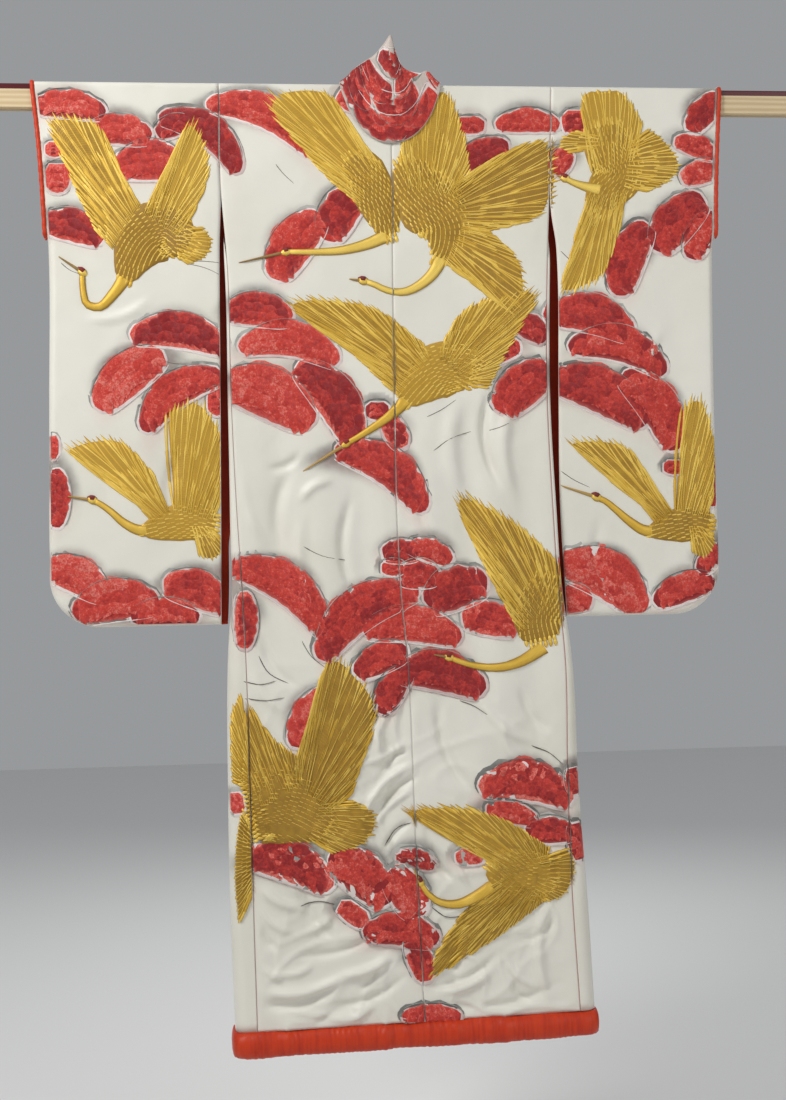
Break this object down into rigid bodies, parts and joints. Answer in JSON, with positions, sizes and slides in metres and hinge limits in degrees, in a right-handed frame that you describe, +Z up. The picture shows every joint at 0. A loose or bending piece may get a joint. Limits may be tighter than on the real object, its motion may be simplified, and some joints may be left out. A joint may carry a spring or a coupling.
{
  "type": "uchikake wedding kimono on a hanging rod",
  "caption": "Full-length padded over-kimono with deep square sleeves and a rolled padded hem, hung flat by its sleeves on a timber rod.",
  "frame": {"origin": "middle of the hanging rod's top face, where the garment's neck is", "axes": "+Z up, +X along the rod to the right as seen from behind the garment, +Y towards the garment's open front; its back faces -Y"},
  "size_m": [1.7, 0.1111, 1.9249],
  "materials": {
    "timber": "light smooth timber with a dark red lacquered top strip",
    "ivory_satin": "ivory satin with gold and red embroidery, red silk lining",
    "collar_brocade": "the body's embroidered satin, red and white",
    "red_silk": "orange-red silk, softly gathered"
  },
  "bodies": {
    "root": {"rod": "timber", "shoulder_left": "ivory_satin", "shoulder_right": "ivory_satin", "back_left": "ivory_satin", "back_right": "ivory_satin", "front_left": "ivory_satin", "front_right": "ivory_satin", "side_left": "ivory_satin", "side_right": "ivory_satin", "overlap_left": "ivory_satin", "overlap_right": "ivory_satin", "sleeve_left": "ivory_satin", "sleeve_right": "ivory_satin", "collar": "collar_brocade", "hem_roll": "red_silk", "cuff_roll_left": "red_silk", "cuff_roll_right": "red_silk"}
  },
  "joints": []
}
